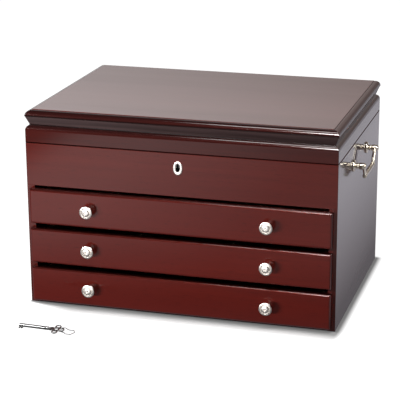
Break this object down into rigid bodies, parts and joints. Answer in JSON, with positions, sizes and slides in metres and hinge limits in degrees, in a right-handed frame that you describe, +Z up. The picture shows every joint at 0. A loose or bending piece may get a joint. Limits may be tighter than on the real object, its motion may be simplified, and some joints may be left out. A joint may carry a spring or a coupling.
{
  "type": "jewellery chest",
  "caption": "Wooden jewellery chest with a moulded hinged lid over a lined compartment, sliding drawers with turned knobs, a keyhole lock, swing handles and a key.",
  "frame": {"origin": "middle of the carcase's footprint, on the surface that it stands on", "axes": "+Z up, -Y towards the drawers' fronts, +X to the right as seen from the front"},
  "size_m": [0.4326, 0.3891, 0.2555],
  "materials": {
    "stained_wood": "dark red-brown mahogany stain under satin-gloss lacquer",
    "inner_wood": "thin matt stain",
    "lining_cloth": "short-pile lining cloth",
    "base_felt": "pressed felt",
    "polished_nickel": "polished and lightly antiqued nickel plate",
    "lock_steel": "nickel-plated steel, brushed",
    "mirror": "silvered glass",
    "key_metal": "polished nickel plate"
  },
  "bodies": {
    "carcase": {"side_panel_left": "stained_wood", "side_panel_right": "stained_wood", "back_panel": "stained_wood", "upper_front_panel": "stained_wood", "base_panel": "stained_wood", "base_felt": "base_felt", "compartment_floor": "inner_wood", "drawer_shelves": "inner_wood", "drawer_stops": "inner_wood", "compartment_lining": "lining_cloth", "compartment_dividers": "lining_cloth", "ring_rolls": "lining_cloth", "lock_case": "lock_steel", "lock_cover": "lock_steel", "escutcheon": "polished_nickel", "hinge_body_leaves": "lock_steel", "hinge_pins": "lock_steel", "case_screws": "lock_steel", "handle_posts_left": "polished_nickel", "handle_posts_right": "polished_nickel", "post_nuts": "lock_steel"},
    "lid": {"lid_front_rail": "stained_wood", "lid_back_rail": "stained_wood", "lid_side_rails": "stained_wood", "lid_top_panel": "stained_wood", "lid_lining": "lining_cloth", "mirror": "mirror", "mirror_frame": "stained_wood", "strike_plate": "lock_steel", "hinge_lid_leaves": "lock_steel", "lid_screws": "lock_steel"},
    "drawer_1": {"drawer_1_front": "stained_wood", "drawer_1_sides": "inner_wood", "drawer_1_back": "inner_wood", "drawer_1_bottom": "inner_wood", "drawer_1_lining": "lining_cloth", "drawer_1_dividers": "lining_cloth", "drawer_1_knobs": "polished_nickel", "drawer_1_knob_screws": "lock_steel"},
    "drawer_2": {"drawer_2_front": "stained_wood", "drawer_2_sides": "inner_wood", "drawer_2_back": "inner_wood", "drawer_2_bottom": "inner_wood", "drawer_2_lining": "lining_cloth", "drawer_2_dividers": "lining_cloth", "drawer_2_knobs": "polished_nickel", "drawer_2_knob_screws": "lock_steel"},
    "drawer_3": {"drawer_3_front": "stained_wood", "drawer_3_sides": "inner_wood", "drawer_3_back": "inner_wood", "drawer_3_bottom": "inner_wood", "drawer_3_lining": "lining_cloth", "drawer_3_dividers": "lining_cloth", "drawer_3_knobs": "polished_nickel", "drawer_3_knob_screws": "lock_steel"},
    "bail_left": {"bail_left": "polished_nickel"},
    "bail_right": {"bail_right": "polished_nickel"},
    "lock_bolt": {"lock_bolt": "lock_steel"},
    "key": {"key": "key_metal", "key_ring": "key_metal"}
  },
  "joints": [
    {"name": "lid_hinge", "type": "hinge", "parent": "carcase", "child": "lid", "pos_m": [0, 0.1434, 0.21345], "axis": [-1, 0, 0], "range_deg": [0, 95]},
    {"name": "drawer_1_slide", "type": "slide", "parent": "carcase", "child": "drawer_1", "axis": [0, -1, 0], "range_m": [0, 0.19]},
    {"name": "drawer_2_slide", "type": "slide", "parent": "carcase", "child": "drawer_2", "axis": [0, -1, 0], "range_m": [0, 0.19]},
    {"name": "drawer_3_slide", "type": "slide", "parent": "carcase", "child": "drawer_3", "axis": [0, -1, 0], "range_m": [0, 0.19]},
    {"name": "bail_left_swing", "type": "hinge", "parent": "carcase", "child": "bail_left", "pos_m": [-0.212, 0, 0.1865], "axis": [0, 1, 0], "range_deg": [-28, 208]},
    {"name": "bail_right_swing", "type": "hinge", "parent": "carcase", "child": "bail_right", "pos_m": [0.212, 0, 0.1865], "axis": [0, -1, 0], "range_deg": [-28, 208]},
    {"name": "lock_bolt_slide", "type": "slide", "parent": "carcase", "child": "lock_bolt", "axis": [1, 0, 0], "range_m": [0, 0.003]},
    {"name": "key_lift", "type": "slide", "parent": "carcase", "child": "key", "axis": [0, 0, 1], "range_m": [0, 0.25]}
  ]
}
